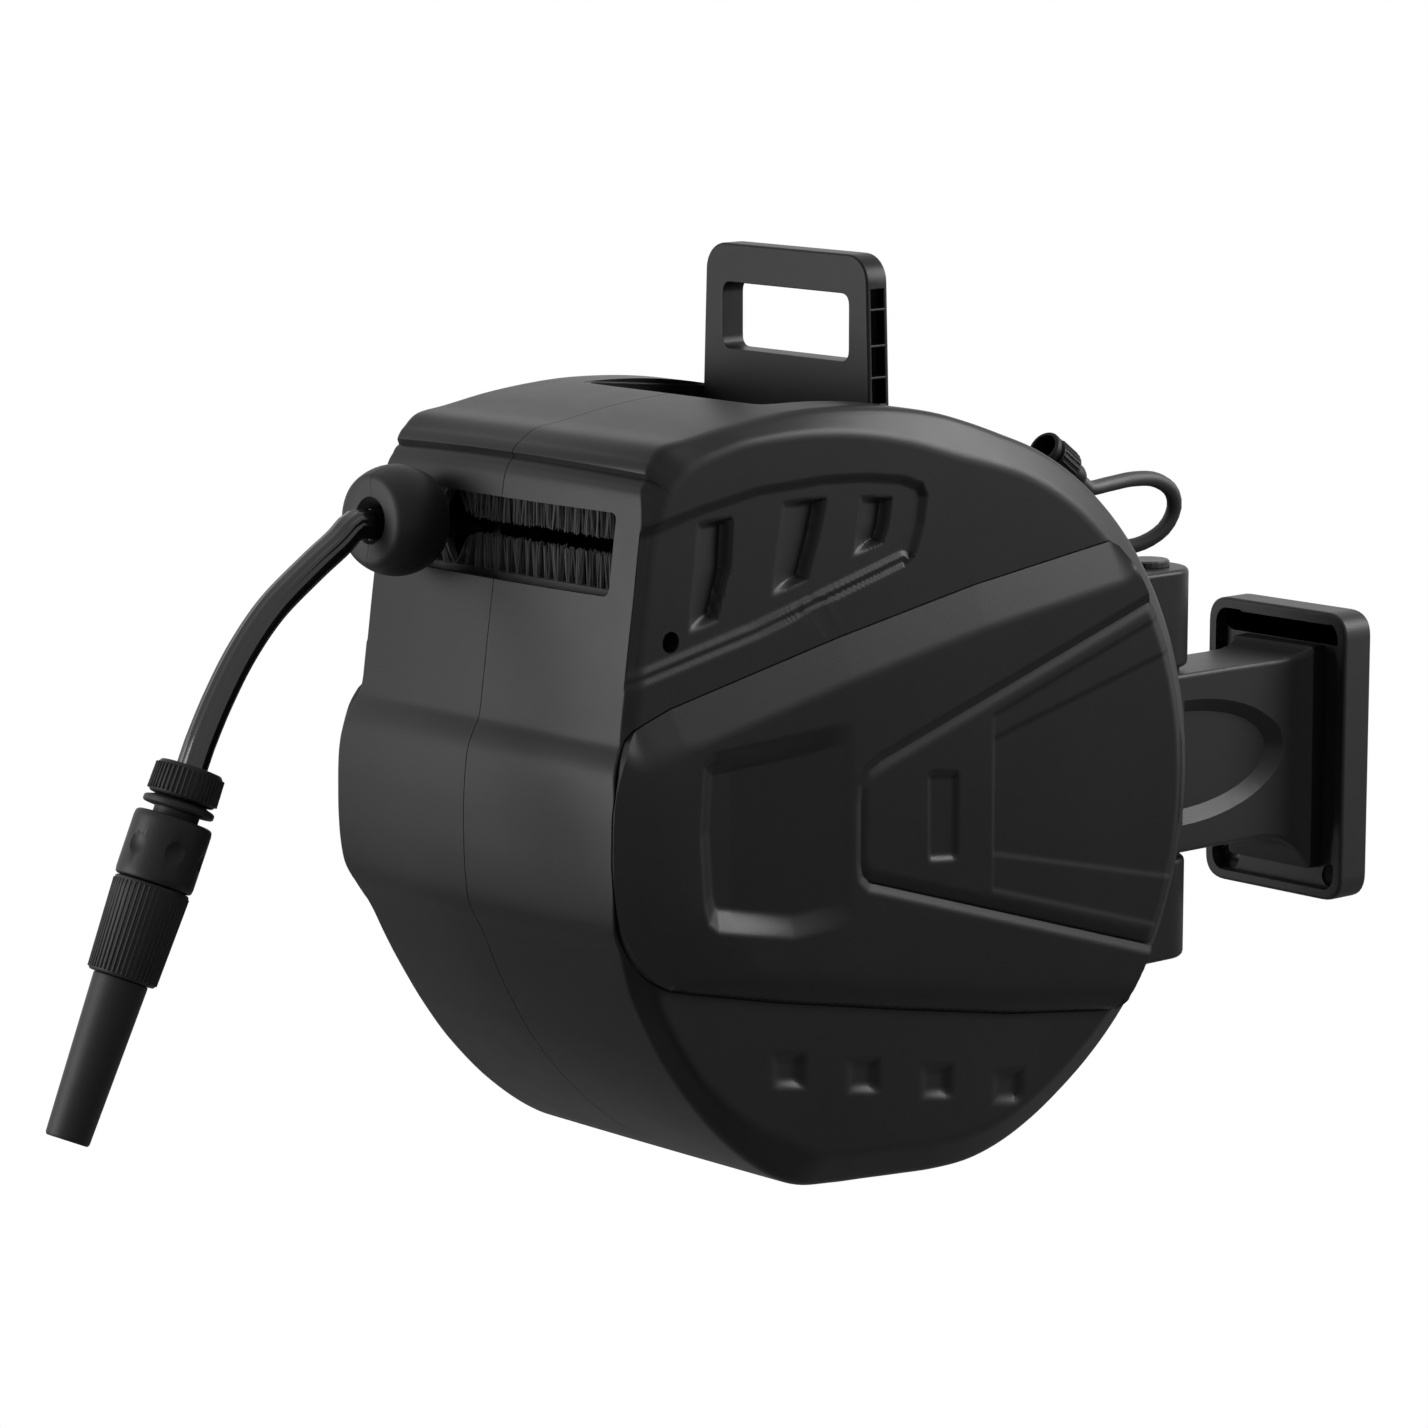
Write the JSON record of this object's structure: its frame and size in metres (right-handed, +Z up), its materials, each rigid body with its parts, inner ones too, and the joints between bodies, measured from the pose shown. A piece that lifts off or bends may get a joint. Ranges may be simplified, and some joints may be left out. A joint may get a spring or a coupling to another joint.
{
  "type": "retractable hose reel",
  "caption": "Wall-mounted retractable hose reel: a round casing with a brush-lined outlet, swivelling bracket, folding carrying handle, hose stop, straight nozzle and feed hose.",
  "frame": {"origin": "centre of the wall plate's back face, on the wall", "axes": "+Z up, +Y into the wall, -Y the way the hose leaves, X across"},
  "size_m": [0.2732, 0.9022, 0.514],
  "materials": {
    "casing": "fine satin moulded",
    "cover": "fine satin moulded",
    "bracket": "satin moulded",
    "handle": "satin moulded",
    "bristle": "black bristle",
    "hose": "smooth, slightly glossy",
    "connector": "satin moulded",
    "mechanism": "plain moulded",
    "steel": "zinc plated"
  },
  "bodies": {
    "bracket": {"wall_plate": "bracket", "bracket_arm": "bracket", "pivot_pin": "steel", "pivot_washer_upper": "steel", "pivot_washer_lower": "steel"},
    "casing": {"casing_left": "casing", "casing_right": "casing", "side_band_left": "cover", "side_band_right": "cover", "side_cover_left": "cover", "side_cover_right": "cover", "brush_upper": "bristle", "brush_lower": "bristle", "casing_screw_1": "steel", "casing_screw_2": "steel", "casing_screw_3": "steel", "bush_left": "mechanism", "bush_right": "mechanism", "spring_case": "mechanism", "spring_cover": "mechanism", "main_spring": "steel", "pawl_pin": "steel", "pawl_spring": "steel", "idler_pin": "steel", "guide_rod": "steel", "handle_pin": "steel", "inlet_fitting": "connector", "feed_hose_inlet": "hose", "feed_coil": "hose", "feed_hose_tap": "hose", "tap_tail": "connector", "tap_connector": "connector"},
    "handle": {"carry_handle": "handle"},
    "drum": {"drum_core": "mechanism", "drum_flange_left": "mechanism", "drum_flange_right": "mechanism", "drum_axle": "steel", "ratchet_wheel": "mechanism", "drum_gear": "mechanism", "hose_on_drum": "hose"},
    "idler": {"idler_gear": "mechanism"},
    "screw": {"layering_screw": "steel", "screw_gear": "mechanism"},
    "guide": {"guide_carriage": "mechanism", "hose_lead": "hose", "hose_stop_left": "connector", "hose_stop_right": "connector", "hose_tail": "hose", "connector_nut": "connector", "connector_body": "connector"},
    "sleeve": {"coupler_sleeve": "connector"},
    "nozzle": {"nozzle_collar": "connector", "nozzle_tube": "connector"},
    "pawl": {"pawl": "mechanism"}
  },
  "joints": [
    {"name": "swivel", "type": "hinge", "parent": "bracket", "child": "casing", "pos_m": [0, -0.14, 0], "axis": [0, 0, 1], "range_deg": [-85, 85]},
    {"name": "handle_fold", "type": "hinge", "parent": "casing", "child": "handle", "pos_m": [0, -0.43, 0.246], "axis": [1, 0, 0], "range_deg": [0, 90]},
    {"name": "drum_spin", "type": "hinge", "parent": "casing", "child": "drum", "pos_m": [0, -0.427, 0.026], "axis": [1, 0, 0], "range_deg": [0, 2520]},
    {"name": "idler_spin", "type": "hinge", "parent": "casing", "child": "idler", "pos_m": [-0.083, -0.50891, 0.09328], "axis": [1, 0, 0], "range_deg": [-1660, 10]},
    {"name": "screw_spin", "type": "hinge", "parent": "casing", "child": "screw", "pos_m": [0, -0.58, 0.15168], "axis": [1, 0, 0], "range_deg": [-10, 3790]},
    {"name": "guide_slide", "type": "slide", "parent": "casing", "child": "guide", "axis": [1, 0, 0], "range_m": [0, 0.1225], "deforming": ["brush_upper", "brush_lower"]},
    {"name": "sleeve_release", "type": "slide", "parent": "guide", "child": "sleeve", "axis": [0, 0.4106, 0.9118], "range_m": [0, 0.004]},
    {"name": "nozzle_twist", "type": "hinge", "parent": "guide", "child": "nozzle", "pos_m": [-0.061, -0.8068, 0.0765], "axis": [0, -0.4106, -0.9118], "continuous": true},
    {"name": "pawl_swing", "type": "hinge", "parent": "casing", "child": "pawl", "pos_m": [0.077, -0.359, -0.09178], "axis": [1, 0, 0], "range_deg": [0, 22]}
  ],
  "couplings": [
    {"joint": "idler_spin", "follows": "drum_spin", "ratio": -0.65625},
    {"joint": "screw_spin", "follows": "drum_spin", "ratio": 1.5},
    {"joint": "guide_slide", "follows": "drum_spin", "m_per_rad": 0.0027852}
  ]
}
